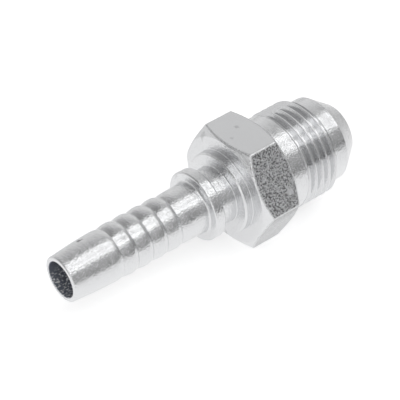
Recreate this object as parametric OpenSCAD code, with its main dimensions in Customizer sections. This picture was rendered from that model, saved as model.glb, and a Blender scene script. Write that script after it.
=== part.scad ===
// Male flare hose insert: one piece turned from hexagon bar.
// Barbed hose tail, locking collar, neck, shoulder ring, hexagon, shank,
// 16 turns-per-inch thread, plain nose band and a 37 degree cone seat.
// It lies on one hexagon flat, as it comes to rest on a bench.

/* [Hose tail] */
// Outside diameter over the barbs
barb_d = 10.16; // [9.9:0.02:10.9]
// Outside diameter of the plain length between the last barb groove and the collar
tail_d = 9.94; // [9.5:0.02:10.6]
// Length of the hose tail, from its end face to the collar
tail_l = 29.3; // [27.5:0.1:34]
// Outside diameter of the tail's end, where the hose is pushed on
tip_d = 8.8; // [8.3:0.05:9.4]
// Radius that rounds the tail's end
tip_round = 0.45; // [0.1:0.05:0.45]
// Outside diameter where the tapered lead-in ends
lead_d = 9.9; // [9.6:0.02:10.4]
// Distance from the tail's end to the end of the lead-in
lead_l = 9.3; // [7:0.1:10.5]
// How much the lead-in bows, from 1 for a straight taper
lead_bow = 1.6; // [1:0.05:2.2]
// Number of barb grooves in the tail
groove_count = 5; // [1:1:5]
// Distance from one barb groove to the next
groove_pitch = 3.25; // [2.6:0.05:3.6]
// Depth of a barb groove below the barb, on the radius
groove_depth = 0.4; // [0.3:0.02:0.6]
// Axial length over which the surface falls into a groove, the side that holds the hose
fall_l = 1.05; // [0.3:0.05:1.5]
// Axial length over which the surface rises again behind the last groove
last_rise_l = 2.45; // [1:0.05:4]
// How much a barb bows on its rising side, from 1 for a straight side
rise_bow = 1.85; // [1:0.05:2.5]
// How much a barb bows on its falling side, from 1 for a straight side
fall_bow = 1.65; // [1:0.05:2.5]
// Diameter of the bore through the tail
tail_bore_d = 6.95; // [5.5:0.05:7.4]
// Chamfer at the mouth of the tail bore
tail_bore_chamfer = 0.15; // [0.05:0.05:0.25]

/* [Collar and neck] */
// Outside diameter of the locking collar
collar_d = 13.7; // [12.6:0.1:15]
// Width of the locking collar
collar_w = 2.2; // [1.4:0.1:3]
// Radius that rounds the collar's two outer edges
collar_round = 0.35; // [0.1:0.05:0.5]
// Radius of the fillet between the tail and the collar
collar_fillet = 0.4; // [0.1:0.05:0.6]
// Diameter of the neck that a ferrule locks into
neck_d = 11; // [10.2:0.1:12]
// Length of the neck between the collar and the shoulder ring
neck_l = 3.6; // [2.6:0.1:5]
// Radius of the fillets at the two ends of the neck
neck_fillet = 0.2; // [0.05:0.05:0.4]
// Outside diameter of the shoulder ring in front of the hexagon
ring_d = 15.9; // [14:0.1:17]
// Width of the shoulder ring
ring_w = 1.65; // [1:0.05:3]
// Chamfer on the shoulder ring's outer edge
ring_chamfer = 0.3; // [0.1:0.05:0.5]

/* [Hexagon] */
// Size of the hexagon across its flats
hex_af = 21.7; // [20.5:0.1:24]
// Length of the hexagon along the axis
hex_w = 8.25; // [6.5:0.05:12]
// Diameter of the flat round face left on both ends of the hexagon
washer_d = 21.1; // [19.6:0.1:22.5]
// Angle of the hexagon's end chamfers from its end faces
hex_chamfer_a = 30; // [15:1:35]

/* [Shank and thread] */
// Diameter of the plain shank between the hexagon and the thread
shank_d = 18.5; // [17.6:0.1:18.9]
// Length of the plain shank
shank_l = 3.7; // [2:0.1:6]
// Length of the shallow cone by which the shank rises to the thread
lead_cone_l = 1.3; // [0.3:0.1:1.9]
// Outside diameter of the thread
thread_d = 19; // [18.95:0.05:20.5]
// Turns of the thread in one inch
thread_tpi = 16; // [14:1:18]
// Length of the threaded part, with the chamfer at its end
thread_l = 7.9; // [6:0.1:12]
// Depth of the thread groove
thread_depth = 0.95; // [0.6:0.01:0.98]
// Half of the angle between the thread's two flanks
flank_a = 30; // [29:0.5:31]
// Angle around the axis at which the thread begins, from the lowest flat
thread_start_a = 0; // [-180:5:180]
// Part of a turn over which the thread groove comes in to its full depth
run_in_turn = 0.3; // [0.15:0.05:0.5]

/* [Nose and seat] */
// Diameter of the plain band between the thread and the cone
nose_d = 16.8; // [16:0.1:17]
// Length of the plain band
nose_l = 2.7; // [1.5:0.1:5]
// Length of the cone seat along the axis
seat_l = 4; // [3:0.1:4.1]
// Angle between the cone seat and the axis
seat_a = 37; // [30:0.5:38]
// Radius that rounds the inner edge of the cone's front
seat_round = 0.12; // [0.04:0.02:0.14]
// Diameter of the bore through the nose
nose_bore_d = 9.9; // [8.5:0.1:10]
// Depth of the nose bore, from the nose to where its drill cone begins
nose_bore_l = 24; // [18:0.5:25]
// Point angle of the drill that made the nose bore
drill_a = 118; // [90:1:140]

/* [Hidden] */
$fn = 96;
inch = 25.4;
eps = 0.01;
// Turned curves are cut into this many straight steps
curve_steps = 6;
// The falling side of a barb is cut into this many straight steps
fall_steps = 3;
// The thread groove is cut into this many steps in a turn
turn_steps = 48;

tail_r = tail_d / 2;
tip_r = tip_d / 2;
lead_r = lead_d / 2;
barb_r = barb_d / 2;
groove_r = barb_r - groove_depth;
collar_r = collar_d / 2;
neck_r = neck_d / 2;
ring_r = ring_d / 2;
hex_corner_r = hex_af / 2 / cos(30);
washer_r = washer_d / 2;
shank_r = shank_d / 2;
thread_r = thread_d / 2;
nose_r = nose_d / 2;
seat_r = nose_r - seat_l * tan(seat_a);
tail_bore_r = tail_bore_d / 2;
nose_bore_r = nose_bore_d / 2;

// Stations along the axis, counted from the tail's end face
collar_z = tail_l;
neck_z = collar_z + collar_w;
ring_z = neck_z + neck_l;
hex_z = ring_z + ring_w;
shank_z = hex_z + hex_w;
thread_z = shank_z + shank_l;
nose_z = thread_z + thread_l;
seat_z = nose_z + nose_l;
total_l = seat_z + seat_l;
first_groove_z = lead_l + fall_l;
last_groove_z = first_groove_z + (groove_count - 1) * groove_pitch;
drill_z = total_l - nose_bore_l;
bore_step_z = drill_z - (nose_bore_r - tail_bore_r) / tan(drill_a / 2);

// The thread's section
thread_pitch = inch / thread_tpi;
crest_flat = thread_pitch / 8;
root_r = thread_r - thread_depth;
root_w = thread_pitch - crest_flat - 2 * thread_depth * tan(flank_a);
// The cutter stands this far proud of the thread's crest
cutter_over = 0.08;
cutter_w = root_w + 2 * (thread_depth + cutter_over) * tan(flank_a);
// The groove's middle starts this far past the shank
thread_start_z = thread_z + 0.06;
// Past the thread's end the cutter runs on until it is clear of the chamfer
cutter_turns = (nose_z + cutter_w / 2 + eps - thread_start_z) / thread_pitch;
lift_out = thread_depth + 2 * cutter_over;

// A turned surface that rises quickly and then flattens, as [radius, station] points,
// without its first point
function rising(r0, z0, r1, z1, bow) = [
    for (i = [1:curve_steps])
        let (t = i / curve_steps)
        [r1 - (r1 - r0) * pow(1 - t, bow), z0 + (z1 - z0) * t]
];

// A turned surface that falls slowly and then steeply, without its first point
function falling(r0, z0, r1, z1, bow) = [
    for (i = [1:fall_steps])
        let (t = i / fall_steps)
        [r0 - (r0 - r1) * pow(t, bow), z0 + (z1 - z0) * t]
];

// A quarter turn or less of a round edge or fillet, as [radius, station] points
function round_edge(r, z, rad, a0, a1) = [
    for (i = [0:curve_steps])
        let (a = a0 + (a1 - a0) * i / curve_steps)
        [r + rad * cos(a), z + rad * sin(a)]
];

// One barb, from the groove before it down to the groove behind it
function barb(z0) =
    let (peak_z = z0 + groove_pitch - fall_l)
    concat(
        rising(groove_r, z0, barb_r, peak_z, rise_bow),
        falling(barb_r, peak_z, groove_r, z0 + groove_pitch, fall_bow)
    );

// The tail: a rounded end, a tapered lead-in, the barbs and a plain length up to the collar
function tail_outline() = concat(
    round_edge(tip_r - tip_round, tip_round, tip_round, -90, 0),
    rising(tip_r, tip_round, lead_r, lead_l, lead_bow),
    falling(lead_r, lead_l, groove_r, first_groove_z, fall_bow),
    [for (g = [1:1:groove_count - 1]) each barb(first_groove_z + (g - 1) * groove_pitch)],
    rising(groove_r, last_groove_z, tail_r, last_groove_z + last_rise_l, rise_bow)
);

// The collar, the neck and the shoulder ring, up to the middle of the hexagon
function shoulder_outline() = concat(
    round_edge(tail_r + collar_fillet, collar_z - collar_fillet, collar_fillet, 180, 90),
    round_edge(collar_r - collar_round, collar_z + collar_round, collar_round, -90, 0),
    round_edge(collar_r - collar_round, neck_z - collar_round, collar_round, 0, 90),
    round_edge(neck_r + neck_fillet, neck_z + neck_fillet, neck_fillet, -90, -180),
    round_edge(neck_r + neck_fillet, ring_z - neck_fillet, neck_fillet, 180, 90),
    [
        [ring_r - ring_chamfer, ring_z],
        [ring_r, ring_z + ring_chamfer],
        [ring_r, hex_z + hex_w / 2],
        [shank_r, hex_z + hex_w / 2]
    ]
);

// The shank, the blank of the thread with its two chamfers, the nose band and the cone
function nose_outline() = concat(
    [
        [shank_r, thread_z - lead_cone_l],
        [thread_r, thread_z],
        [thread_r, nose_z - (thread_r - nose_r)],
        [nose_r, nose_z],
        [nose_r, seat_z]
    ],
    round_edge(seat_r - seat_round * tan((90 - seat_a) / 2), total_l - seat_round,
        seat_round, 90 - seat_a, 90)
);

module turned_body() {
    rotate_extrude()
        polygon(concat([[0, 0]], tail_outline(), shoulder_outline(), nose_outline(), [[0, total_l]]));
}

// The hexagon bar between two cones that chamfer its corners
module hexagon() {
    over = 1;
    rise = (hex_corner_r + over - washer_r) * tan(hex_chamfer_a);
    intersection() {
        translate([0, 0, hex_z])
            rotate([0, 0, 30])
                cylinder(r = hex_corner_r, h = hex_w, $fn = 6);
        rotate_extrude()
            polygon([
                [0, hex_z],
                [washer_r, hex_z],
                [hex_corner_r + over, hex_z + rise],
                [hex_corner_r + over, shank_z - rise],
                [washer_r, shank_z],
                [0, shank_z]
            ]);
    }
}

// The passage: the tail bore, a drill cone and the wider nose bore, with both mouths chamfered
module passage() {
    rotate_extrude()
        polygon([
            [0, -eps],
            [tail_bore_r + tail_bore_chamfer + eps, -eps],
            [tail_bore_r, tail_bore_chamfer],
            [tail_bore_r, bore_step_z],
            [nose_bore_r, drill_z],
            [nose_bore_r, total_l + eps],
            [0, total_l + eps]
        ]);
}

// One section of the thread cutter: two points at the root and two outside the crest
function cutter_section(i) =
    let (
        turn = i / turn_steps,
        a = thread_start_a + 360 * turn,
        z = thread_start_z + thread_pitch * turn,
        lift = lift_out * (1 - min(1, turn / run_in_turn)),
        r0 = root_r + lift,
        r1 = thread_r + cutter_over + lift
    )
    [
        for (p = [[r0, -root_w / 2], [r1, -cutter_w / 2], [r1, cutter_w / 2], [r0, root_w / 2]])
            [p[0] * cos(a), p[0] * sin(a), z + p[1]]
    ];

// The V groove of a right-hand thread, swept along its helix
module thread_groove() {
    n = ceil(cutter_turns * turn_steps);
    sides = 4;
    points = [for (i = [0:n]) each cutter_section(i)];
    walls = [
        for (i = [0:n - 1], j = [0:sides - 1])
            let (
                a = i * sides + j,
                b = i * sides + (j + 1) % sides
            )
            each [[a, b, b + sides], [a, b + sides, a + sides]]
    ];
    first_end = [[3, 2, 1], [3, 1, 0]];
    m = n * sides;
    last_end = [[m, m + 1, m + 2], [m, m + 2, m + 3]];
    polyhedron(points = points, faces = concat(walls, first_end, last_end));
}

// The whole part stands on its tail here
module upright_body() {
    difference() {
        union() {
            turned_body();
            hexagon();
        }
        passage();
        thread_groove();
    }
}

// Laid on a flat: the tail towards -X, the nose towards +X, the lowest flat at z = 0
module fitting_body() {
    color([0.78, 0.79, 0.8])
        translate([-total_l / 2, 0, hex_af / 2])
            rotate([0, 90, 0])
                upright_body();
}

fitting_body();
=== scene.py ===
"""Hydraulic hose fitting: turns, threads and zinc plates the body on its frame, and sets the studio."""

import math
from types import SimpleNamespace

import bmesh
import bpy
from bpy.props import FloatProperty, FloatVectorProperty, IntProperty, PointerProperty
from mathutils import Matrix, Vector


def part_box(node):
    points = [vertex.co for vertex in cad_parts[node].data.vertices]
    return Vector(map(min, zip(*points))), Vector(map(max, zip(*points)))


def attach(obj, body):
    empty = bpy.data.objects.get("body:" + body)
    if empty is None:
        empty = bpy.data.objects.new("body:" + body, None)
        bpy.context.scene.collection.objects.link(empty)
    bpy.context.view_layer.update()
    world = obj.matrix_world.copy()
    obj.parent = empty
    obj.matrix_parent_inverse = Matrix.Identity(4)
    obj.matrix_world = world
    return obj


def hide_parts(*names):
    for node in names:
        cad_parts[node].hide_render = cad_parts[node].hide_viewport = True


bl_info = {
    "name": "Hydraulic hose fitting",
    "version": (1, 0, 0),
    "blender": (4, 5, 0),
    "location": "View3D > Sidebar > Hose fitting",
    "description": "Turns, threads and zinc plates a one-piece hose fitting, and sets its studio",
    "category": "Object",
}

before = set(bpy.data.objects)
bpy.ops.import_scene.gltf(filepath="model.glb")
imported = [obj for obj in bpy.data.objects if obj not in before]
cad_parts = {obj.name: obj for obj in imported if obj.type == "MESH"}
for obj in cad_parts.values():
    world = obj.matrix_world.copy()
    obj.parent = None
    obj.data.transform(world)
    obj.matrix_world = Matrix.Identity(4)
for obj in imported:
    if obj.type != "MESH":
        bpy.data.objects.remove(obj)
NODE = "fitting_body"
LOW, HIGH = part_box(NODE)
MM = 1000.0
AXIS_HEIGHT = (LOW.z + HIGH.z) / 2
ACROSS_FLATS = (HIGH.z - LOW.z) * MM
MERGE = 0.0005  # Points of the mesh in millimetres that lie closer than this are one point
ROUND_OFF = 1e-4
LENGTH = {"unit": "LENGTH", "subtype": "DISTANCE"}
SHARE = {"min": 0, "max": 1, "subtype": "FACTOR"}
COLOUR = {"size": 3, "min": 0, "max": 1, "subtype": "COLOR"}

# How much the lead-in and the barbs bow, from 1 for a straight side
LEAD_BOW = 1.6
RISE_BOW = 2.4
FALL_BOW = 1.65
LEAD_STEPS = 14

# Roundings, fillets and chamfers of the turned section, in millimetres
EDGE_ROUND = 0.05
SMALL_ROUND = 0.06
BORE_CHAMFER = 0.15
COLLAR_FILLET = 0.4
COLLAR_ROUND = 0.35
NECK_FILLET = 0.2
RING_CHAMFER = 0.3
FACE_FILLET = 0.12
WASHER_ROUND = 0.08
SEAT_EDGE = 0.1
SEAT_ROUND = 0.12
LEAST_BEND = 0.02  # A corner that bends less than this angle, in radians, stays sharp
SIDE_SHARE = 0.45  # The most of a side that one of its roundings takes up

# The hexagon bar, the drill, and the shallow cone and the chamfer in front of the thread, in millimetres
BAR_SPARE = 0.2
HEX_CHAMFER = math.radians(30)
DRILL_ANGLE = math.radians(118)
CONE_ROUND = 0.3
CONE_RISE = 0.08
CONE_END = 0.1
CONE_EDGE = 0.03
THREAD_CHAMFER_END = 0.22

# The thread's V, its cutter and its run-in, in millimetres and parts of a turn
FLANK_ANGLE = math.radians(30)
CREST_SHARE = 1 / 8
CUTTER_PROUD = 0.08
THREAD_START = 0.06
PAST_NOSE = 0.01
HELIX_PARTS = 48
RUN_IN_TURN = 0.3
SECTION_SLACK = 0.05

# Which edges are bevelled, in millimetres from the thread's two ends, its crest and the hexagon
CREST_BEVEL = 0.06
CREST_SLACK = 0.01
CREST_BEGINS = 0.35
CREST_ENDS = 1.4
HEX_SLACK = 0.1
LEAST_FACES = 1000
SMOOTH_ANGLE = math.radians(32)

# Soft rims of the surface masks, in millimetres past the place where the surface ends: from 0 to full
FLAT_RIM = (-0.04, -0.01)
SIDE_RIM = (-0.05, -0.3)
EDGE_RIM = (-0.24, -0.16)
BORE_RIM = (0.125, 0.025)
NOSE_BORE_RIM = (0.15, 0.05)
DRILL_RIM = (-1.8, -1.3)
THREAD_RIM = (-0.3, 0.3)
NOSE_RIM = (-0.1, -0.6)
CREST_RIM = (-0.12, -0.05)
LEAD_RIM = (0.5, -0.9)

# By height from the axis in millimetres: the floor of the bore, and how far the pits fade towards the bottom,
# which paints the lower flats lighter as a painted reflection of the floor
BORE_FLOOR = (0.6, -1.6)
PITS_AND_PAINTED_REFLECTION = (-3.5, 0.0, 0.45, 1.0)

# Scales of the plate's patterns: shares of the grain's, then in one metre, and in one millimetre for rings
SPOT_SCALE = 0.62
FLECK_SCALE = 0.54
RIPPLE_SCALE = 0.5
CLOUD_SCALE = 420.0
WARP_SCALE = 900.0
LINE_SCALE = 620.0
LINE_PATCH_SCALE = 260.0
CHIP_SCALE = 4800.0
BLOT_SCALE = 330.0
RAGGED_SCALE = 2600.0
RING_SCALE = 5.5
RING_PATCH_SCALE = 1.3
ELSEWHERE = (0.7, 0.3, 0.9)

# Levels of a pattern between which its mask comes in, with the mask's own levels where they aren't 0 and 1
SPOT_LEVELS = (0.46, 0.56)
CLOUD_LEVELS = (0.36, 0.64)
FLECK_LEVELS = (0.53, 0.59)
LINE_PATCH_LEVELS = (0.53, 0.62)
CHIP_LEVELS = (0.2, 0.4)
BLOT_LEVELS = (0.67, 0.74)
STAIN_LEVELS = (0.22, 0.44)
RING_LEVELS = (0.35, 0.65, 0.25, 1.0)
SAND_LEVELS = (0.4, 0.6, 0.7, 1.3)

# How much of each effect shows in the colour, the gloss and the relief
PITS_ANYWHERE = 0.02
PITS_ON_SIDES = 0.92
PITS_IN_CLOUDS = 1.18
# Painted shade in the thread's grooves, as a share of the dull zinc
PAINTED_GROOVE_SHADE = 0.08
GRAIN_LEFT = 0.3
EDGE_GLOSS = 0.2
PLAIN_RELIEF = 0.3
SIDE_RELIEF = 0.6
CLOUD_RELIEF = 0.4
PASSAGE_RELIEF = 4.5
THREAD_RELIEF = 0.5
DENT_RELIEF = 0.22
FLECK_RELIEF = 3.0
LINE_SHARE = 0.07
FAINT_BLOT = 0.3

# In metres: how far the lines swerve, and how deep the grain and the turning rings are
LINE_WARP = 0.0008
GRAIN_DEPTH = 0.00005
RING_DEPTH = 0.000012

# Where the handling marks lie and how far they reach, in metres, with the strength of each stain
LINE_PLACES = (((0.0091, -0.0078, 0.0190), 0.0030), ((0.0114, -0.0107, 0.0140), 0.0036))
CHIP_PLACE = ((0.0113, -0.0109, 0.0135), 0.0014)
STAIN_PLACES = (((-0.02595, 0.00175, 0.0152), 0.0009, 1.3), ((-0.0254, 0.0015, 0.0152), 0.0007, 1.1),
                ((0.0098, 0.0017, 0.0217), 0.0014, 0.3), ((0.0071, -0.0002, 0.0217), 0.0009, 0.2))

# Two soft boxes, each between two angles above the front horizon, in degrees, and set towards the nose
LAMPS = (("front_soft_box", 50, 68), ("top_soft_box", 76, 95))
LAMP_SHIFT = 0.15

# Brightness of the walls by the angle above the front horizon, in degrees
WALL_LEVELS = ((-180, 0.88), (-20, 0.34), (0, 0.26), (10, 0.31), (20, 0.36), (35, 0.39), (50, 0.44),
               (95, 0.45), (115, 0.53), (140, 0.76), (180, 0.88))

# Patches of the walls, by direction: what each adds, and its bands, from where one begins to where it is full
WALL_PATCHES = {
    "dim window": (-0.46, ("X", 0.4, 0.14), ("Y", -0.4, 0.2), ("Z", 0.12, 0.3)),
    "tail side": (0.25, ("X", 0.42, 0.25), ("Y", 0.0, -0.4)),
    "tail end": (2.8, ("X", -0.6, -0.78), ("Y", -0.2, -0.5)),
    "nose end": (-0.5, ("X", 0.84, 0.93), ("Z", 0.4, 0.2)),
}

# Patches of the floor that the plate mirrors, in the same form, in metres
FLOOR_PATCHES = {
    "front": (0.57, ("Y", -0.2, -0.06)),
    "back": (-0.176, ("Y", 0.02, 0.045)),
    "past the nose": (-0.5, ("X", 0.1, 0.2)),
    "beside the nose": (-0.26, ("Y", -0.05, -0.02), ("Y", 0.035, 0.015), ("X", 0.028, 0.08)),
    "under the body": (0.05, ("Y", -0.035, -0.012), ("Y", 0.035, 0.012)),
}
FLOOR_MIRRORED = -0.25  # Added to what the plate mirrors of the whole floor
FLOOR_GLOW = 0.5  # Makes the lit paper white to the camera
FLOOR_SHEEN = 0.66  # Even light of the paper in the plate, and its share
FLOOR_SHEEN_SHARE = 0.5

# The camera, in metres, and its lens, in millimetres
CAMERA_PLACE = (-0.1558, -0.2035, 0.2207)
CAMERA_RIGHT = (0.7736, -0.6323, -0.0413)
CAMERA_BACK = (-0.4695, -0.6157, 0.6328)
FOCAL_LENGTH = 165.8
SENSOR_WIDTH = 36

COLUMN_WIDTH = 220
ROW_HEIGHT = 180


# Sizes and colours

class FittingSizes(bpy.types.PropertyGroup):
    """Sizes of the turned body, in the order in which they follow from the tail to the nose"""
    barb_d: FloatProperty(
        name="Barb diameter", description="Outside diameter over the barbs", default=0.01016, **LENGTH)
    tail_d: FloatProperty(
        name="Tail diameter", description="Diameter of the plain length in front of the collar",
        default=0.00994, **LENGTH)
    tail_l: FloatProperty(
        name="Tail length", description="From the tail's end face to the collar", default=0.0293, **LENGTH)
    tip_d: FloatProperty(
        name="Tail end diameter", description="Outside diameter of the tail's end", default=0.0088, **LENGTH)
    tip_round: FloatProperty(
        name="Tail end rounding", description="Radius that rounds the tail's end", default=0.00045, **LENGTH)
    lead_d: FloatProperty(
        name="Lead-in diameter", description="Outside diameter where the tapered lead-in ends",
        default=0.0099, **LENGTH)
    lead_l: FloatProperty(
        name="Lead-in length", description="From the tail's end to the end of the lead-in",
        default=0.0093, **LENGTH)
    barb_count: IntProperty(
        name="Grooves", description="Number of grooves between the barbs", default=5, min=1, max=6)
    barb_pitch: FloatProperty(
        name="Barb spacing", description="From one barb to the next", default=0.00325, **LENGTH)
    barb_depth: FloatProperty(
        name="Groove depth", description="Depth of a groove below the barb on the radius",
        default=0.0004, **LENGTH)
    barb_fall_l: FloatProperty(
        name="Barb fall", description="Axial length over which a barb falls into the next groove",
        default=0.00105, **LENGTH)
    last_rise_l: FloatProperty(
        name="Last rise", description="Axial length of the rise behind the last groove",
        default=0.00245, **LENGTH)
    tail_bore_d: FloatProperty(
        name="Tail bore", description="Diameter of the bore through the tail", default=0.00695, **LENGTH)
    collar_d: FloatProperty(
        name="Collar diameter", description="Outside diameter of the locking collar",
        default=0.0137, **LENGTH)
    collar_w: FloatProperty(
        name="Collar width", description="Width of the locking collar", default=0.0022, **LENGTH)
    neck_d: FloatProperty(
        name="Neck diameter", description="Diameter between the collar and the shoulder ring",
        default=0.011, **LENGTH)
    neck_l: FloatProperty(name="Neck length", description="Length of the neck", default=0.0036, **LENGTH)
    ring_d: FloatProperty(
        name="Shoulder ring diameter", description="Outside diameter of the shoulder ring",
        default=0.0159, **LENGTH)
    ring_w: FloatProperty(
        name="Shoulder ring width", description="Width of the shoulder ring", default=0.00165, **LENGTH)
    hex_w: FloatProperty(
        name="Hexagon width", description="Length of the hexagon along the axis", default=0.00825, **LENGTH)
    washer_d: FloatProperty(
        name="Washer face", description="Diameter of the round face on both ends of the hexagon",
        default=0.0211, **LENGTH)
    hex_edge: FloatProperty(
        name="Hexagon edges", description="Width of the worn edges of the hexagon", default=0.00042, **LENGTH)
    shank_d: FloatProperty(
        name="Shank diameter", description="Diameter between the hexagon and the thread",
        default=0.0185, **LENGTH)
    shank_l: FloatProperty(
        name="Shank length", description="Length of the plain shank", default=0.0037, **LENGTH)
    lead_cone_l: FloatProperty(
        name="Lead cone", description="Length of the shallow cone by which the shank rises to the thread",
        default=0.0013, **LENGTH)
    thread_d: FloatProperty(
        name="Thread diameter", description="Outside diameter of the thread", default=0.019, **LENGTH)
    thread_l: FloatProperty(
        name="Thread length", description="Length of the threaded part", default=0.0079, **LENGTH)
    thread_pitch: FloatProperty(
        name="Thread pitch", description="Advance of the thread in one turn", default=0.0015875, **LENGTH)
    thread_depth: FloatProperty(
        name="Thread depth", description="Depth of the thread groove", default=0.00095, **LENGTH)
    nose_d: FloatProperty(
        name="Nose diameter", description="Diameter of the plain band behind the cone",
        default=0.0168, **LENGTH)
    nose_l: FloatProperty(
        name="Nose length", description="Length of the plain band", default=0.0027, **LENGTH)
    seat_l: FloatProperty(
        name="Seat length", description="Length of the cone seat along the axis", default=0.004, **LENGTH)
    seat_angle: FloatProperty(
        name="Seat angle", description="Angle between the cone seat and the axis",
        default=math.radians(37), subtype="ANGLE")
    nose_bore_d: FloatProperty(
        name="Nose bore", description="Diameter of the bore through the nose", default=0.0099, **LENGTH)
    nose_bore_l: FloatProperty(
        name="Nose bore depth", description="From the nose to the drill cone", default=0.024, **LENGTH)
    turn_steps: IntProperty(
        name="Steps in a turn", description="Flats that stand for one full turn",
        default=192, min=48, max=384)


class FittingFinish(bpy.types.PropertyGroup):
    """Colours and roughness of the zinc plate"""
    zinc: FloatVectorProperty(
        name="Zinc", description="Colour of the bright zinc plate", default=(0.76, 0.765, 0.775), **COLOUR)
    # The dull zinc is also the colour of the painted shade in the thread's grooves
    dull_zinc_and_groove_shade: FloatVectorProperty(
        name="Dull zinc", description="Colour of the thin plate in pits and stains",
        default=(0.25, 0.25, 0.255), **COLOUR)
    bore_zinc: FloatVectorProperty(
        name="Bore", description="Colour of the dull, thin plate inside the bore",
        default=(0.26, 0.28, 0.33), **COLOUR)
    # Painted glints: the near-white colour of the flecks on the bore's floor, where light falls
    painted_glint_fleck: FloatVectorProperty(
        name="Flecks", description="Colour of the bright flecks inside the bore",
        default=(0.96, 0.96, 0.97), **COLOUR)
    turned_roughness: FloatProperty(
        name="Turned roughness", description="Roughness of the turned surfaces", default=0.04, **SHARE)
    turned_spots: FloatProperty(
        name="Turned spots", description="How much rougher the spots of the plate are on turned surfaces",
        default=0.14, **SHARE)
    bar_roughness: FloatProperty(
        name="Hexagon roughness", description="Roughness of the drawn flats of the hexagon",
        default=0.14, **SHARE)
    bar_spots: FloatProperty(
        name="Hexagon spots", description="How much rougher the plate's spots are on the hexagon's flats",
        default=0.7, **SHARE)
    grain_size: FloatProperty(
        name="Plate grain", description="Distance from grain to grain in the plate", default=0.0002, **LENGTH)


class FittingStudio(bpy.types.PropertyGroup):
    """The plain studio round the fitting"""
    floor_colour: FloatVectorProperty(
        name="Floor", description="Colour of the floor", default=(0.9, 0.9, 0.9), **COLOUR)
    floor_size: FloatProperty(
        name="Floor size", description="Side of the square floor", default=6.0, **LENGTH)
    lamp_height: FloatProperty(
        name="Lamp height", description="Height of the two soft boxes above the floor", default=0.8, **LENGTH)
    lamp_length: FloatProperty(name="Lamp length", description="Length of a soft box", default=1.9, **LENGTH)
    lamp_level: FloatProperty(
        name="Lamp level", description="Brightness of the soft boxes, where 1 is white", default=1.1, min=0)


# Shaping tools

def leave_edit_mode():
    if bpy.context.mode != "OBJECT":
        bpy.ops.object.mode_set(mode="OBJECT")


def deselect_everything():
    leave_edit_mode()
    bpy.ops.object.select_all(action="DESELECT")


def take(piece):
    """Makes a piece the only selected and the active one"""
    deselect_everything()
    piece.select_set(True)
    bpy.context.view_layer.objects.active = piece


def edit_all(piece):
    take(piece)
    bpy.ops.object.mode_set(mode="EDIT")
    bpy.ops.mesh.select_all(action="SELECT")


def round_corners(corners, steps=5):
    """Turns corners given as (station, radius, rounding) into points, with an arc at each rounded corner"""
    points = []
    for i, (station, radius, rounding) in enumerate(corners):
        here = Vector((station, radius))
        back = Vector(corners[i - 1][:2]) - here
        ahead = Vector(corners[(i + 1) % len(corners)][:2]) - here
        bend = math.pi - back.angle(ahead)
        if rounding <= 0 or bend < LEAST_BEND:
            points.append(here)
            continue
        cut = min(rounding * math.tan(bend / 2), SIDE_SHARE * back.length, SIDE_SHARE * ahead.length)
        true_radius = cut / math.tan(bend / 2)
        inwards = (back.normalized() + ahead.normalized()).normalized()
        centre = here + inwards * math.hypot(cut, true_radius)
        first = here + back.normalized() * cut - centre
        last = here + ahead.normalized() * cut - centre
        begin = math.atan2(first.y, first.x)
        sweep = math.remainder(math.atan2(last.y, last.x) - begin, 2 * math.pi)
        for k in range(steps + 1):
            angle = begin + sweep * k / steps
            points.append(centre + Vector((math.cos(angle), math.sin(angle))) * true_radius)
    return points


def rising(station_a, radius_a, station_b, radius_b, bow, steps=9):
    """Corners of a turned surface that rises quickly and then flattens, without its first one"""
    return [(station_a + (station_b - station_a) * i / steps,
             radius_b - (radius_b - radius_a) * (1 - i / steps) ** bow, 0) for i in range(1, steps + 1)]


def falling(station_a, radius_a, station_b, radius_b, bow, steps=6):
    """Corners of a turned surface that falls slowly and then steeply, without its first and last one"""
    return [(station_a + (station_b - station_a) * i / steps,
             radius_a - (radius_a - radius_b) * (i / steps) ** bow, 0) for i in range(1, steps)]


def draw_loop(name, points, plane_z=False):
    """Draws a closed outline from point to point by extruding one vertex; x is the station, and the radius
    lies along Y, or downwards where plane_z is set"""
    def place(p):
        return Vector((p[0], 0, -p[1])) if plane_z else Vector((p[0], p[1], 0))
    deselect_everything()
    bpy.ops.mesh.primitive_plane_add(size=1, location=(0, 0, 0))
    loop = bpy.context.object
    loop.name = name
    edit_all(loop)
    bpy.ops.mesh.merge(type="CENTER")
    here = place(points[0])
    bpy.ops.transform.translate(value=here)
    for point in points[1:] + points[:1]:
        there = place(point)
        bpy.ops.mesh.extrude_region_move(TRANSFORM_OT_translate={"value": there - here})
        here = there
    bpy.ops.mesh.select_all(action="SELECT")
    bpy.ops.mesh.remove_doubles(threshold=MERGE)
    leave_edit_mode()
    return loop


def apply_modifier(piece, kind, **settings):
    take(piece)
    modifier = piece.modifiers.new(kind.title(), kind)
    for key, value in settings.items():
        setattr(modifier, key, value)
    bpy.ops.object.modifier_apply(modifier=modifier.name)


def bevel_edges(piece, width, segments, least_angle, wanted):
    """Bevels each edge that is sharper than the least angle and whose two ends are wanted"""
    edit_all(piece)
    bpy.ops.mesh.select_mode(type="EDGE")
    bpy.ops.mesh.select_all(action="DESELECT")
    mesh = bmesh.from_edit_mesh(piece.data)
    for e in mesh.edges:
        sharp = len(e.link_faces) == 2 and e.calc_face_angle() > math.radians(least_angle)
        e.select = bool(sharp and wanted(e.verts[0].co, e.verts[1].co))
    mesh.select_flush_mode()
    bmesh.update_edit_mesh(piece.data)
    bpy.ops.mesh.bevel(offset=width, segments=segments, profile=0.5, affect="EDGES", clamp_overlap=True)
    bpy.ops.mesh.select_mode(type="VERT")
    leave_edit_mode()


# The body

def stations(s):
    """Where the collar and each part after it begins, in millimetres from the tail's end"""
    place = s.tail_l * MM
    at = SimpleNamespace(collar=place)
    for name, width in (("neck", s.collar_w), ("ring", s.neck_l), ("hexagon", s.ring_w), ("shank", s.hex_w),
                        ("thread", s.shank_l), ("nose", s.thread_l), ("seat", s.nose_l), ("end", s.seat_l)):
        place += width * MM
        setattr(at, name, place)
    return at


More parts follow.
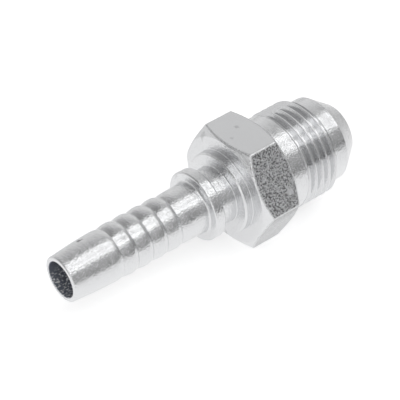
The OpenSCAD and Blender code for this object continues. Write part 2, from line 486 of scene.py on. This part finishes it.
def body_corners(s, at):
    """The whole section of the body as (station, radius, rounding) corners in millimetres, outside first"""
    tail_r = s.tail_d * MM / 2
    tip_r = s.tip_d * MM / 2
    lead_r = s.lead_d * MM / 2
    barb_r = s.barb_d * MM / 2
    groove_r = barb_r - s.barb_depth * MM
    bore_r = s.tail_bore_d * MM / 2
    collar_r = s.collar_d * MM / 2
    neck_r = s.neck_d * MM / 2
    ring_r = s.ring_d * MM / 2
    washer_r = s.washer_d * MM / 2
    shank_r = s.shank_d * MM / 2
    thread_r = s.thread_d * MM / 2
    nose_r = s.nose_d * MM / 2
    seat_r = nose_r - s.seat_l * MM * math.tan(s.seat_angle)
    nose_bore_r = s.nose_bore_d * MM / 2
    lead = s.lead_l * MM
    pitch = s.barb_pitch * MM
    fall = s.barb_fall_l * MM

    corners = [(0, bore_r + BORE_CHAMFER, SMALL_ROUND), (0, tip_r, s.tip_round * MM)]
    corners += rising(s.tip_round * MM, tip_r, lead, lead_r, LEAD_BOW, LEAD_STEPS)
    corners += falling(lead, lead_r, lead + fall, groove_r, FALL_BOW)
    for barb in range(s.barb_count):
        groove = lead + fall + barb * pitch
        corners.append((groove, groove_r, SMALL_ROUND))
        if barb < s.barb_count - 1:
            peak = groove + pitch - fall
            corners += rising(groove, groove_r, peak, barb_r, RISE_BOW)
            corners += falling(peak, barb_r, groove + pitch, groove_r, FALL_BOW)
    corners += rising(groove, groove_r, groove + s.last_rise_l * MM, tail_r, RISE_BOW)

    bar_r = HIGH.y * MM + BAR_SPARE
    chamfer = (bar_r - washer_r) * math.tan(HEX_CHAMFER)
    corners += [
        (at.collar, tail_r, COLLAR_FILLET), (at.collar, collar_r, COLLAR_ROUND),
        (at.neck, collar_r, COLLAR_ROUND), (at.neck, neck_r, NECK_FILLET),
        (at.ring, neck_r, NECK_FILLET), (at.ring, ring_r - RING_CHAMFER, SMALL_ROUND),
        (at.ring + RING_CHAMFER, ring_r, SMALL_ROUND), (at.hexagon, ring_r, FACE_FILLET),
        (at.hexagon, washer_r, WASHER_ROUND), (at.hexagon + chamfer, bar_r, 0),
        (at.shank - chamfer, bar_r, 0), (at.shank, washer_r, WASHER_ROUND),
        (at.shank, shank_r, FACE_FILLET), (at.thread - s.lead_cone_l * MM, shank_r, CONE_ROUND),
        (at.thread + CONE_END, shank_r + CONE_RISE, CONE_EDGE),
        (at.thread + THREAD_CHAMFER_END, thread_r, EDGE_ROUND),
        (at.nose - thread_r + nose_r, thread_r, EDGE_ROUND), (at.nose, nose_r, EDGE_ROUND),
        (at.seat, nose_r, SEAT_EDGE), (at.end, seat_r, SEAT_ROUND), (at.end, nose_bore_r, EDGE_ROUND),
    ]
    drilled = at.end - s.nose_bore_l * MM
    corners += [
        (drilled, nose_bore_r, EDGE_ROUND),
        (drilled - (nose_bore_r - bore_r) / math.tan(DRILL_ANGLE / 2), bore_r, EDGE_ROUND),
        (BORE_CHAMFER, bore_r, EDGE_ROUND),
    ]
    return corners


def turn_blank(s, corners):
    """Spins the section once round the axis, which gives the turned blank with its passage"""
    blank = draw_loop("fitting_finish", round_corners(corners))
    edit_all(blank)
    bpy.ops.mesh.spin(steps=s.turn_steps, angle=2 * math.pi, center=(0, 0, 0), axis=(1, 0, 0))
    bpy.ops.mesh.select_all(action="SELECT")
    bpy.ops.mesh.remove_doubles(threshold=MERGE)
    bpy.ops.mesh.normals_make_consistent(inside=False)
    leave_edit_mode()
    return blank


def make_thread_cutter(s, at):
    """The V of the thread on its right-hand helix, with the first part of a turn lifted clear as a run-in"""
    pitch = s.thread_pitch * MM
    depth = s.thread_depth * MM
    crest_r = s.thread_d * MM / 2
    root_r = crest_r - depth
    root_w = pitch - pitch * CREST_SHARE - 2 * depth * math.tan(FLANK_ANGLE)
    top_w = root_w + 2 * (depth + CUTTER_PROUD) * math.tan(FLANK_ANGLE)
    start = at.thread + THREAD_START
    turns = math.ceil((at.nose + top_w / 2 + PAST_NOSE - start) / pitch * HELIX_PARTS) / HELIX_PARTS
    steps = round(s.turn_steps * turns)
    section = [(start - root_w / 2, root_r, SMALL_ROUND), (start - top_w / 2, crest_r + CUTTER_PROUD, 0),
               (start + top_w / 2, crest_r + CUTTER_PROUD, 0), (start + root_w / 2, root_r, SMALL_ROUND)]
    cutter = draw_loop("thread_cutter", round_corners(section, steps=3), plane_z=True)
    corner_count = len(cutter.data.vertices)
    apply_modifier(cutter, "SCREW", axis="X", angle=2 * math.pi * turns, screw_offset=pitch * turns,
                   steps=steps, render_steps=steps, use_merge_vertices=False)
    lift_run_in(cutter, s.turn_steps, pitch, start, depth + 2 * CUTTER_PROUD)
    edit_all(cutter)
    bpy.ops.mesh.select_all(action="DESELECT")
    bpy.ops.mesh.select_mode(type="EDGE")
    bpy.ops.mesh.select_non_manifold()
    bpy.ops.mesh.fill_holes(sides=corner_count + 2)
    bpy.ops.mesh.select_mode(type="VERT")
    bpy.ops.mesh.select_all(action="SELECT")
    bpy.ops.mesh.normals_make_consistent(inside=False)
    leave_edit_mode()
    return cutter


def lift_run_in(cutter, turn_steps, pitch, start, lift):
    """Moves each section of the first part of the turn outwards, the first one the most"""
    edit_all(cutter)
    bpy.ops.mesh.select_mode(type="VERT")
    mesh = bmesh.from_edit_mesh(cutter.data)
    sections = {}
    for v in mesh.verts:
        turn = math.atan2(v.co.y, -v.co.z) / (2 * math.pi)
        if turn < -ROUND_OFF:
            turn += 1
        middle = start + pitch * turn
        if turn < RUN_IN_TURN and abs(v.co.x - middle) < pitch / 2 + SECTION_SLACK:
            sections.setdefault(round(turn * turn_steps), []).append(v.index)
    for number, members in sections.items():
        angle = 2 * math.pi * number / turn_steps
        rise = lift * (1 - number / turn_steps / RUN_IN_TURN)
        mesh = bmesh.from_edit_mesh(cutter.data)
        mesh.verts.ensure_lookup_table()
        for v in mesh.verts:
            v.select = False
        for index in members:
            mesh.verts[index].select = True
        mesh.select_flush_mode()
        bmesh.update_edit_mesh(cutter.data)
        bpy.ops.transform.translate(value=(0, rise * math.sin(angle), -rise * math.cos(angle)))
    leave_edit_mode()


def round_thread_crest(body, s, at):
    """Bevels the two edges of the thread's crest all along the helix"""
    least_r = s.thread_d * MM / 2 - CREST_SLACK

    def on_crest(a, b):
        middle = (a.x + b.x) / 2
        lowest = min(math.hypot(a.y, a.z), math.hypot(b.y, b.z))
        return lowest > least_r and at.thread + CREST_BEGINS < middle < at.nose - CREST_ENDS
    bevel_edges(body, CREST_BEVEL, segments=2, least_angle=40, wanted=on_crest)


def cut_hexagon(body):
    """Mills the six flats; all that is turned smaller than the flats stays clear of the cuts"""
    for side in range(6):
        angle = math.radians(90 + 60 * side)
        outwards = Vector((0, math.cos(angle), math.sin(angle)))
        edit_all(body)
        bpy.ops.mesh.bisect(plane_co=outwards * ACROSS_FLATS / 2, plane_no=outwards, use_fill=True,
                            clear_inner=False, clear_outer=True, threshold=MERGE)
        leave_edit_mode()


def wear_hexagon_edges(body, s, at):
    """Bevels the sharp edges of the hexagon"""
    least_r = s.washer_d * MM / 2 + HEX_SLACK

    def on_hexagon(a, b):
        middle = (a + b) / 2
        within = at.hexagon - HEX_SLACK < middle.x < at.shank + HEX_SLACK
        return within and math.hypot(middle.y, middle.z) > least_r
    bevel_edges(body, s.hex_edge * MM, segments=3, least_angle=16, wanted=on_hexagon)


class FITTING_OT_turn_body(bpy.types.Operator):
    """Turns the blank, cuts the thread and the hexagon, and puts the body in its place"""
    bl_idname = "fitting.turn_body"
    bl_label = "Turn the body"

    def execute(self, context):
        s = context.scene.fitting_sizes
        at = stations(s)
        body = turn_blank(s, body_corners(s, at))
        cutter = make_thread_cutter(s, at)
        apply_modifier(body, "BOOLEAN", operation="DIFFERENCE", solver="EXACT", object=cutter)
        bpy.data.objects.remove(cutter)
        round_thread_crest(body, s, at)
        cut_hexagon(body)
        wear_hexagon_edges(body, s, at)
        edit_all(body)
        bpy.ops.mesh.remove_doubles(threshold=MERGE)
        take(body)
        bpy.ops.object.shade_smooth_by_angle(angle=SMOOTH_ANGLE)
        apply_modifier(body, "WEIGHTED_NORMAL", mode="FACE_AREA", weight=50, keep_sharp=True)
        body.data.transform(Matrix.Translation((LOW.x, 0, AXIS_HEIGHT)) @ Matrix.Scale(1 / MM, 4))
        if len(body.data.polygons) < LEAST_FACES:
            raise RuntimeError("the body lost its faces")
        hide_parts(NODE)
        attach(body, "root")
        return {"FINISHED"}


# Wiring of the materials

def add_node(tree, kind, **settings):
    node = tree.nodes.new(kind)
    for key, value in settings.items():
        setattr(node, key, value)
    return node


def feed(tree, socket, value):
    """Links a socket to the value, or sets it where the value is a number or a colour"""
    if isinstance(value, bpy.types.NodeSocket):
        tree.links.new(value, socket)
    else:
        socket.default_value = value


def calc(tree, operation, *operands):
    """Adds a maths node, each operand of which is a socket or a number"""
    node = add_node(tree, "ShaderNodeMath", operation=operation)
    for socket, operand in zip(node.inputs, operands):
        feed(tree, socket, operand)
    return node.outputs[0]


def product(tree, first, *others):
    for other in others:
        first = calc(tree, "MULTIPLY", first, other)
    return first


def add_where(tree, base, mask, amount):
    """Adds the amount to the base where the mask is 1, and less of it where the mask is less"""
    return calc(tree, "MULTIPLY_ADD", mask, amount, base)


def step(tree, value, low, high, bottom=0.0, top=1.0):
    """Goes smoothly from bottom to top while the value goes from low to high"""
    node = add_node(tree, "ShaderNodeMapRange", interpolation_type="SMOOTHSTEP")
    for name, operand in (("Value", value), ("From Min", low), ("From Max", high), ("To Min", bottom),
                          ("To Max", top)):
        feed(tree, node.inputs[name], operand)
    return node.outputs[0]


def noise(tree, vector, scale, detail=2.0, roughness=0.5, distortion=0.0):
    node = add_node(tree, "ShaderNodeTexNoise")
    for name, operand in (("Vector", vector), ("Scale", scale), ("Detail", detail), ("Roughness", roughness),
                          ("Distortion", distortion)):
        feed(tree, node.inputs[name], operand)
    return node.outputs["Fac"]


def ring_noise(tree, along, scale, detail):
    """Noise that changes along one axis only"""
    node = add_node(tree, "ShaderNodeTexNoise", noise_dimensions="1D")
    for name, operand in (("W", along), ("Scale", scale), ("Detail", detail)):
        feed(tree, node.inputs[name], operand)
    return node.outputs["Fac"]


def vector_calc(tree, operation, *operands):
    node = add_node(tree, "ShaderNodeVectorMath", operation=operation)
    for socket, operand in zip(node.inputs, operands):
        feed(tree, socket, operand)
    return node.outputs["Value" if operation == "DISTANCE" else "Vector"]


def split(tree, vector):
    """The sockets X, Y and Z of a vector"""
    node = add_node(tree, "ShaderNodeSeparateXYZ")
    feed(tree, node.inputs[0], vector)
    return node.outputs


def mix_colours(tree, share, first, second):
    """Mixes two colours, each of which is a socket or a colour"""
    node = add_node(tree, "ShaderNodeMix", data_type="RGBA")
    feed(tree, node.inputs[0], share)
    for socket, colour in zip(node.inputs[6:8], (first, second)):
        feed(tree, socket, colour if isinstance(colour, bpy.types.NodeSocket) else (*colour, 1))
    return node.outputs[2]


def add_patches(tree, level, axes, patches):
    """Changes the level in each patch, which is where all of its bands are full"""
    for change, *bands in patches.values():
        full = product(tree, *[step(tree, axes[axis], begins, is_full) for axis, begins, is_full in bands])
        level = add_where(tree, level, full, change)
    return level


def arrange(tree):
    """Lays the nodes out in columns, each one to the left of those that it feeds"""
    column = {node.name: 0 for node in tree.nodes}
    for _ in tree.nodes:
        for link in tree.links:
            column[link.from_node.name] = max(column[link.from_node.name], column[link.to_node.name] + 1)
    rows = {}
    for node in tree.nodes:
        left = column[node.name]
        rows[left] = rows.get(left, 0) + 1
        node.location = (-COLUMN_WIDTH * left, -ROW_HEIGHT * rows[left])


def open_group(name, **inputs):
    """Starts a node group with its named inputs, and gives their sockets too"""
    group = bpy.data.node_groups.new(name, "ShaderNodeTree")
    for label, kind in inputs.items():
        group.interface.new_socket(name=label, in_out="INPUT", socket_type=kind)
    return group, add_node(group, "NodeGroupInput").outputs


def close_group(group, results):
    """Gives a node group its named outputs"""
    for label in results:
        group.interface.new_socket(name=label, in_out="OUTPUT", socket_type="NodeSocketFloat")
    leave = add_node(group, "NodeGroupOutput")
    for label, value in results.items():
        feed(group, leave.inputs[label], value)
    arrange(group)
    return group


def use_group(tree, group, **inputs):
    """Places a node group with its inputs, and gives the sockets of its outputs"""
    node = add_node(tree, "ShaderNodeGroup", node_tree=group)
    for label, value in inputs.items():
        feed(tree, node.inputs[label], value)
    return node.outputs


# The finish

def make_zones(s):
    """Where a point lies: its station and radius in millimetres, and a mask for each kind of surface"""
    at = stations(s)
    flat_r = ACROSS_FLATS / 2
    bore_r = s.tail_bore_d * MM / 2
    nose_bore_r = s.nose_bore_d * MM / 2
    drilled = at.end - s.nose_bore_l * MM
    thread_r = s.thread_d * MM / 2
    group, enter = open_group("fitting_zones", Position="NodeSocketVector")

    def near(value, place, rim):
        return step(group, value, place + rim[0], place + rim[1])

    axes = split(group, enter["Position"])
    station = calc(group, "MULTIPLY_ADD", axes["X"], MM, -LOW.x * MM)
    side = calc(group, "MULTIPLY", axes["Y"], MM)
    height = calc(group, "MULTIPLY_ADD", axes["Z"], MM, -AXIS_HEIGHT * MM)
    radius = calc(group, "SQRT", calc(group, "MULTIPLY_ADD", height, height, product(group, side, side)))

    upright = calc(group, "ABSOLUTE", height)
    reach = upright
    for lean in (math.radians(60), math.radians(-60)):
        across = add_where(group, product(group, height, math.cos(lean)), side, math.sin(lean))
        reach = calc(group, "MAXIMUM", reach, calc(group, "ABSOLUTE", across))
    flat = near(reach, flat_r, FLAT_RIM)
    side_flat = product(group, flat, near(upright, flat_r, SIDE_RIM))
    edge = product(group, near(reach, flat_r, EDGE_RIM), calc(group, "SUBTRACT", 1.0, flat))

    wide = product(group, near(radius, nose_bore_r, NOSE_BORE_RIM), near(station, drilled, DRILL_RIM))
    passage = calc(group, "MAXIMUM", near(radius, bore_r, BORE_RIM), wide)
    bore_floor = product(group, passage, step(group, height, *BORE_FLOOR))

    thread = product(group, near(station, at.thread, THREAD_RIM), near(station, at.nose, NOSE_RIM))
    crest = product(group, thread, near(radius, thread_r, CREST_RIM))
    level_flat = calc(group, "SUBTRACT", flat, side_flat)
    return close_group(group, {
        "Station": station, "Radius": radius, "Flat": flat, "Side Flat": side_flat, "Edge": edge,
        "Passage": passage, "Bore Floor": bore_floor, "Thread": thread, "Crest": crest,
        "Lead In": near(station, s.lead_l * MM, LEAD_RIM),
        # The pits thin out towards the bottom, which paints the lower flats lighter: a painted reflection of
        # the floor
        "Pits With Painted Lower Reflection": step(group, height, *PITS_AND_PAINTED_REFLECTION),
        "Grain Left": step(group, calc(group, "ADD", thread, level_flat), 0.0, 1.0, 1.0, GRAIN_LEFT),
    })


def make_grain():
    """The uneven grain of the plate: two heights for the bump, and masks of dull spots, clouds and flecks"""
    group, enter = open_group("zinc_grain", Position="NodeSocketVector", Grains="NodeSocketFloat")
    position = enter["Position"]
    grains = enter["Grains"]
    elsewhere = vector_calc(group, "ADD", position, ELSEWHERE)
    spots = noise(group, elsewhere, product(group, grains, SPOT_SCALE), detail=4.0, roughness=0.9)
    cloud = noise(group, position, CLOUD_SCALE, detail=3.0, roughness=0.6)
    flecks = noise(group, position, product(group, grains, FLECK_SCALE), detail=1.0, distortion=0.8)
    return close_group(group, {
        "Height": noise(group, position, grains, roughness=0.6),
        "Ripple": noise(group, elsewhere, product(group, grains, RIPPLE_SCALE), roughness=0.6),
        "Spots": step(group, spots, *SPOT_LEVELS),
        "Cloud": step(group, cloud, *CLOUD_LEVELS),
        "Flecks": step(group, flecks, *FLECK_LEVELS),
    })


def make_turning_marks():
    """The fine rings that the tool left, uneven from ring to ring"""
    group, enter = open_group("turning_marks", Station="NodeSocketFloat", Radius="NodeSocketFloat")
    along = calc(group, "ADD", enter["Station"], enter["Radius"])
    rings = ring_noise(group, along, RING_SCALE, detail=3.0)
    strength = step(group, ring_noise(group, along, RING_PATCH_SCALE, detail=1.0), *RING_LEVELS)
    return close_group(group, {"Height": product(group, rings, strength)})


def near_mask(group, position, place, reach):
    """Rises smoothly from 0 at the reach to 1 at the place itself"""
    return step(group, vector_calc(group, "DISTANCE", position, place), reach, 0)


def make_handling_marks():
    """Light lines and a chip that other parts left on the flats, and the stains on tail and upper flat"""
    group, enter = open_group("handling_marks", Position="NodeSocketVector")
    position = enter["Position"]
    bent = vector_calc(group, "MULTIPLY_ADD", noise(group, position, WARP_SCALE), (LINE_WARP,) * 3, position)
    web = add_node(group, "ShaderNodeTexVoronoi", feature="DISTANCE_TO_EDGE")
    feed(group, web.inputs["Vector"], bent)
    feed(group, web.inputs["Scale"], LINE_SCALE)
    line = step(group, web.outputs["Distance"], LINE_SHARE, 0.0)
    patch = step(group, noise(group, position, LINE_PATCH_SCALE), *LINE_PATCH_LEVELS)
    for place, reach in LINE_PLACES:
        patch = calc(group, "MAXIMUM", patch, near_mask(group, position, place, reach))
    chips = product(group, near_mask(group, position, *CHIP_PLACE), noise(group, position, CHIP_SCALE))
    light = calc(group, "MAXIMUM", product(group, line, patch), step(group, chips, *CHIP_LEVELS))

    faint = noise(group, position, BLOT_SCALE, detail=4.0, roughness=0.6, distortion=0.4)
    blot = product(group, step(group, faint, *BLOT_LEVELS), FAINT_BLOT)
    ragged = noise(group, position, RAGGED_SCALE, detail=3.0)
    for place, reach, strength in STAIN_PLACES:
        near = product(group, near_mask(group, position, place, reach), ragged)
        blot = calc(group, "MAXIMUM", blot, step(group, near, *STAIN_LEVELS, 0.0, strength))
    return close_group(group, {"Lines": light, "Stain": calc(group, "MINIMUM", blot, 1.0)})


class FITTING_OT_plate_body(bpy.types.Operator):
    """Gives the body its bright zinc plate"""
    bl_idname = "fitting.plate_body"
    bl_label = "Zinc plate the body"

    def execute(self, context):
        f = context.scene.fitting_finish
        body = bpy.data.objects["fitting_finish"]
        plate = bpy.data.materials.new("bright_zinc_plate")
        plate.use_nodes = True
        tree = plate.node_tree
        shader = tree.nodes["Principled BSDF"]
        shader.inputs["Metallic"].default_value = 1
        position = add_node(tree, "ShaderNodeTexCoord").outputs["Object"]
        zone = use_group(tree, make_zones(context.scene.fitting_sizes), Position=position)
        grain = use_group(tree, make_grain(), Position=position, Grains=1 / f.grain_size)
        marks = use_group(tree, make_handling_marks(), Position=position)
        rings = use_group(tree, make_turning_marks(), Station=zone["Station"], Radius=zone["Radius"])
        # Painted glints: flecks on the bore's floor, painted near white, and also rougher and raised
        painted_glint_fleck = product(tree, grain["Flecks"], zone["Bore Floor"])
        feed(tree, shader.inputs["Base Color"], self.colour(tree, f, zone, grain, marks, painted_glint_fleck))
        feed(tree, shader.inputs["Roughness"], self.roughness(tree, f, zone, grain, marks, painted_glint_fleck))
        feed(tree, shader.inputs["Normal"], self.relief(tree, zone, grain, rings, painted_glint_fleck))
        arrange(tree)
        body.data.materials.clear()
        body.data.materials.append(plate)
        return {"FINISHED"}

    def colour(self, tree, f, zone, grain, marks, painted_glint_fleck):
        """Sandy pits on the drawn flats, fading towards the bottom as a painted reflection of the floor,
        painted shade in the thread's grooves, stains, and the dull bore with painted glints on its floor
        """
        share = add_where(tree, PITS_ANYWHERE, zone["Side Flat"], PITS_ON_SIDES)
        patchy = step(tree, grain["Cloud"], 0.0, 1.0, 1.0, PITS_IN_CLOUDS)
        sandy = step(tree, grain["Height"], *SAND_LEVELS)
        covered = calc(tree, "MAXIMUM", grain["Spots"], marks["Lines"])
        pits = product(tree, sandy, calc(tree, "SUBTRACT", 1.0, covered), share, patchy, zone["Pits With Painted Lower Reflection"])
        # Painted shade: the thread's grooves, less their crests, are darkened towards the dull zinc
        groove = calc(tree, "SUBTRACT", zone["Thread"], zone["Crest"])
        dull = calc(tree, "MAXIMUM", marks["Stain"], add_where(tree, pits, groove, PAINTED_GROOVE_SHADE))
        plated = mix_colours(tree, dull, f.zinc, f.dull_zinc_and_groove_shade)
        # Painted glints on the bore's floor
        with_painted_glints = mix_colours(tree, painted_glint_fleck, plated, f.painted_glint_fleck)
        return mix_colours(tree, calc(tree, "SUBTRACT", zone["Passage"], painted_glint_fleck), with_painted_glints, f.bore_zinc)

    def roughness(self, tree, f, zone, grain, marks, painted_glint_fleck):
        """The plain roughness of turned and drawn surfaces, and what each mask adds to it"""
        rough = add_where(tree, f.turned_roughness, zone["Flat"], f.bar_roughness - f.turned_roughness)
        spot_depth = add_where(tree, f.turned_spots, zone["Side Flat"], f.bar_spots - f.turned_spots)
        spots = product(tree, grain["Spots"], spot_depth, zone["Grain Left"])
        rubbed = product(tree, zone["Edge"], step(tree, grain["Spots"], 0.0, 1.0, EDGE_GLOSS, 1.0))
        worn = calc(tree, "MAXIMUM", rubbed, product(tree, marks["Lines"], zone["Side Flat"]))
        for mask, amount in ((spots, 1.0), (grain["Cloud"], 0.03), (zone["Crest"], 0.25),
                             (zone["Lead In"], 0.05), (zone["Passage"], 0.3), (painted_glint_fleck, 0.4), (worn, 0.5)):
            rough = add_where(tree, rough, mask, amount)
        return rough

    def relief(self, tree, zone, grain, rings, painted_glint_fleck):
        """The plate's grain and the turning marks, each as a bump"""
        even = add_where(tree, PLAIN_RELIEF, zone["Side Flat"], SIDE_RELIEF)
        cloudy = add_where(tree, even, grain["Cloud"], CLOUD_RELIEF)
        amount = add_where(tree, product(tree, cloudy, zone["Grain Left"]), zone["Passage"], PASSAGE_RELIEF)
        turned = step(tree, calc(tree, "ADD", zone["Flat"], zone["Passage"]), 1.0, 0.0)
        off_thread = step(tree, zone["Thread"], 0.0, 1.0, 1.0, THREAD_RELIEF)
        dented = add_where(tree, grain["Ripple"], grain["Flecks"], DENT_RELIEF)
        waves = add_where(tree, product(tree, off_thread, turned, dented), painted_glint_fleck, FLECK_RELIEF)
        grains = add_where(tree, waves, grain["Height"], amount)
        normal = None
        for height, depth in ((grains, GRAIN_DEPTH), (product(tree, rings["Height"], turned), RING_DEPTH)):
            bump = add_node(tree, "ShaderNodeBump")
            feed(tree, bump.inputs["Distance"], depth)
            feed(tree, bump.inputs["Height"], height)
            if normal:
                feed(tree, bump.inputs["Normal"], normal)
            normal = bump.outputs["Normal"]
        return normal


# The studio

class FITTING_OT_set_stage(bpy.types.Operator):
    """Sets the floor, the two soft boxes, the walls' light and the camera"""
    bl_idname = "fitting.set_stage"
    bl_label = "Set the stage"

    def execute(self, context):
        studio = context.scene.fitting_studio
        self.lay_floor(studio)
        self.hang_lamps(studio)
        self.light_walls(context.scene)
        self.place_camera(context.scene)
        return {"FINISHED"}

    def lay_floor(self, studio):
        """A white floor that keeps the shadow, with darker and lighter patches that only the plate mirrors"""
        deselect_everything()
        bpy.ops.mesh.primitive_plane_add(size=studio.floor_size, location=(0, 0, 0))
        floor = bpy.context.object
        floor.name = "floor"
        paper = bpy.data.materials.new("white_floor")
        paper.use_nodes = True
        tree = paper.node_tree
        tree.nodes.clear()
        path = add_node(tree, "ShaderNodeLightPath").outputs
        axes = split(tree, add_node(tree, "ShaderNodeTexCoord").outputs["Object"])
        patches = add_patches(tree, FLOOR_MIRRORED, axes, FLOOR_PATCHES)
        mirrored = product(tree, patches, path["Is Glossy Ray"])
        glow = add_where(tree, mirrored, path["Is Camera Ray"], FLOOR_GLOW)
        sheen = calc(tree, "ADD", mirrored, FLOOR_SHEEN)
        sheen_share = product(tree, path["Is Glossy Ray"], FLOOR_SHEEN_SHARE)
        diffuse = add_node(tree, "ShaderNodeBsdfDiffuse")
        diffuse.inputs["Color"].default_value = (*studio.floor_colour, 1)
        lit = add_node(tree, "ShaderNodeAddShader")
        feed(tree, lit.inputs[0], diffuse.outputs[0])
        feed(tree, lit.inputs[1], self.glowing(tree, "ShaderNodeEmission", glow))
        gloss = self.glowing(tree, "ShaderNodeEmission", sheen)
        self.finish_mix(tree, "ShaderNodeOutputMaterial", sheen_share, lit.outputs[0], gloss)
        arrange(tree)
        floor.data.materials.append(paper)

    def finish_mix(self, tree, kind, *sources):
        """Mixes two shaders by a share, and puts the result out"""
        mix = add_node(tree, "ShaderNodeMixShader")
        for socket, source in zip(mix.inputs, sources):
            feed(tree, socket, source)
        feed(tree, add_node(tree, kind).inputs["Surface"], mix.outputs[0])

    def glowing(self, tree, kind, strength, colour=(1, 1, 1, 1)):
        """A shader that gives light, of one strength and colour"""
        node = add_node(tree, kind)
        feed(tree, node.inputs["Color"], colour)
        feed(tree, node.inputs["Strength"], strength)
        return node.outputs[0]

    def hang_lamps(self, studio):
        """Two long soft boxes above, with a narrow gap between them"""
        height = studio.lamp_height
        for name, near, far in LAMPS:
            y_near = -height / math.tan(math.radians(near))
            y_far = -height / math.tan(math.radians(far))
            lamp = bpy.data.lights.new(name, "AREA")
            lamp.shape = "RECTANGLE"
            lamp.size = studio.lamp_length
            lamp.size_y = y_far - y_near
            lamp.energy = studio.lamp_level * math.pi * lamp.size * lamp.size_y
            holder = bpy.data.objects.new(name, lamp)
            holder.location = (LAMP_SHIFT, (y_near + y_far) / 2, height)
            holder.visible_camera = False
            bpy.context.scene.collection.objects.link(holder)

    def light_walls(self, scene):
        """Grey walls, lightest behind, with darker and lighter patches, and white where the camera looks"""
        world = bpy.data.worlds.new("studio_walls")
        scene.world = world
        world.use_nodes = True
        tree = world.node_tree
        tree.nodes.clear()
        axes = split(tree, add_node(tree, "ShaderNodeTexCoord").outputs["Generated"])
        around = calc(tree, "ARCTAN2", axes["Z"], product(tree, axes["Y"], -1.0))
        ramp = add_node(tree, "ShaderNodeValToRGB")
        feed(tree, ramp.inputs["Fac"], add_where(tree, 0.5, around, 1 / (2 * math.pi)))
        elements = ramp.color_ramp.elements
        while len(elements) < len(WALL_LEVELS):
            elements.new(0.5)
        for element, (angle, level) in zip(elements, WALL_LEVELS):
            element.position = (angle + 180) / 360
            element.color = (level, level, level, 1)
        strength = add_patches(tree, 1.0, axes, WALL_PATCHES)
        walls = self.glowing(tree, "ShaderNodeBackground", strength, ramp.outputs["Color"])
        white = self.glowing(tree, "ShaderNodeBackground", 1.0)
        seen = add_node(tree, "ShaderNodeLightPath").outputs["Is Camera Ray"]
        self.finish_mix(tree, "ShaderNodeOutputWorld", seen, walls, white)
        arrange(tree)

    def place_camera(self, scene):
        """The photograph's own point of view, through a long lens"""
        lens = bpy.data.cameras.new("camera")
        lens.sensor_width = SENSOR_WIDTH
        lens.lens = FOCAL_LENGTH
        lens.clip_start = 0.01
        camera = bpy.data.objects.new("camera", lens)
        right = Vector(CAMERA_RIGHT).normalized()
        back = Vector(CAMERA_BACK)
        back = (back - right * back.dot(right)).normalized()
        turned = Matrix((right, back.cross(right), back)).transposed().to_4x4()
        camera.matrix_world = Matrix.Translation(CAMERA_PLACE) @ turned
        scene.collection.objects.link(camera)
        scene.camera = camera
        scene.view_settings.view_transform = "Standard"


class FITTING_PT_panel(bpy.types.Panel):
    """Lists the steps and the sizes of the hose fitting"""
    bl_label = "Hose fitting"
    bl_idname = "FITTING_PT_panel"
    bl_space_type = "VIEW_3D"
    bl_region_type = "UI"
    bl_category = "Hose fitting"

    def draw(self, context):
        layout = self.layout
        scene = context.scene
        for operator in OPERATORS:
            layout.operator(operator.bl_idname)
        for group in (scene.fitting_sizes, scene.fitting_finish, scene.fitting_studio):
            box = layout.box()
            for name in group.__annotations__:
                box.prop(group, name)


GROUPS = (FittingSizes, FittingFinish, FittingStudio)
OPERATORS = (FITTING_OT_turn_body, FITTING_OT_plate_body, FITTING_OT_set_stage)


def register():
    for cls in GROUPS + OPERATORS + (FITTING_PT_panel,):
        bpy.utils.register_class(cls)
    bpy.types.Scene.fitting_sizes = PointerProperty(type=FittingSizes)
    bpy.types.Scene.fitting_finish = PointerProperty(type=FittingFinish)
    bpy.types.Scene.fitting_studio = PointerProperty(type=FittingStudio)


def unregister():
    del bpy.types.Scene.fitting_studio
    del bpy.types.Scene.fitting_finish
    del bpy.types.Scene.fitting_sizes
    for cls in reversed(GROUPS + OPERATORS + (FITTING_PT_panel,)):
        bpy.utils.unregister_class(cls)


def main():
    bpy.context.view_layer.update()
    register()
    bpy.ops.fitting.turn_body()
    bpy.ops.fitting.plate_body()
    bpy.ops.fitting.set_stage()


if __name__ == "__main__":
    main()
